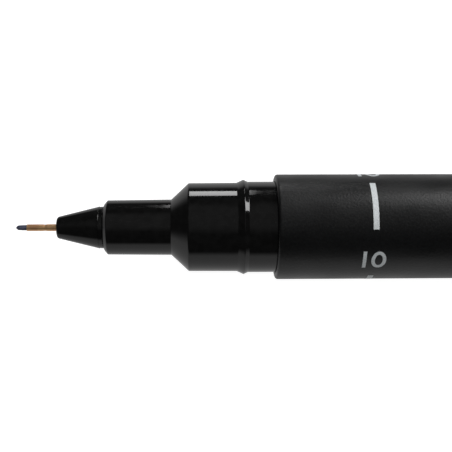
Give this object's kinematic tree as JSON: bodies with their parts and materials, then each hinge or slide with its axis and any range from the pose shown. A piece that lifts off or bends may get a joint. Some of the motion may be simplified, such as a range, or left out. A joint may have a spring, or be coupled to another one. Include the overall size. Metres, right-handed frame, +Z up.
{
  "type": "technical pen",
  "caption": "Fine-point technical drawing pen with a sleeved nib, stepped gloss section, matte barrel and a clip cap posted on the tail.",
  "frame": {"origin": "centre of the bounding box's base: the surface the pen lies on, under the middle of its length", "axes": "+X along the pen from the nib to the posted cap, +Z up from the surface the pen lies on, +Y across, away from the clip"},
  "size_m": [0.1542, 0.0126, 0.011],
  "materials": {
    "nib": "ink-stained dark slate acetal writing point, worn round at the tip",
    "sleeve": "drawn brass tube with a coppery tone, fine drawing lines",
    "section": "gloss black injection-moulded plastic",
    "fibre": "bonded white polyester fibre, ink-stained at the front",
    "film": "thin clear polypropylene film",
    "barrel": "matte black moulded plastic with a fine spark-eroded grain",
    "plug": "satin black moulded plastic",
    "liner": "translucent grey-white polyethylene",
    "clip": "nickel-plated spring steel",
    "print": "white pad-printed ink"
  },
  "bodies": {
    "pen": {"nib_core": "nib", "nib_sleeve": "sleeve", "tip_holder": "section", "front_section": "section", "feed_wick": "fibre", "ink_reservoir": "fibre", "reservoir_film": "film", "barrel": "barrel", "tail_plug": "plug"},
    "cap_liner": {"inner_cap": "liner"},
    "cap": {"cap_shell": "barrel", "cap_crown": "plug"},
    "pocket_clip": {"clip": "clip"}
  },
  "joints": [
    {"name": "cap_pull", "type": "slide", "parent": "pen", "child": "cap_liner", "axis": [1, 0, 0], "range_m": [0, 0.02]},
    {"name": "cap_turn", "type": "hinge", "parent": "cap_liner", "child": "cap", "pos_m": [0.0386, 0.00081, 0.0055], "axis": [1, 0, 0], "continuous": true},
    {"name": "clip_flex", "type": "hinge", "parent": "cap", "child": "pocket_clip", "pos_m": [0.07368, -0.00421, 0.0024], "axis": [0, -0.5247, 0.8513], "range_deg": [0, 4.5], "stiffness_Nm_per_rad": 0.8}
  ]
}
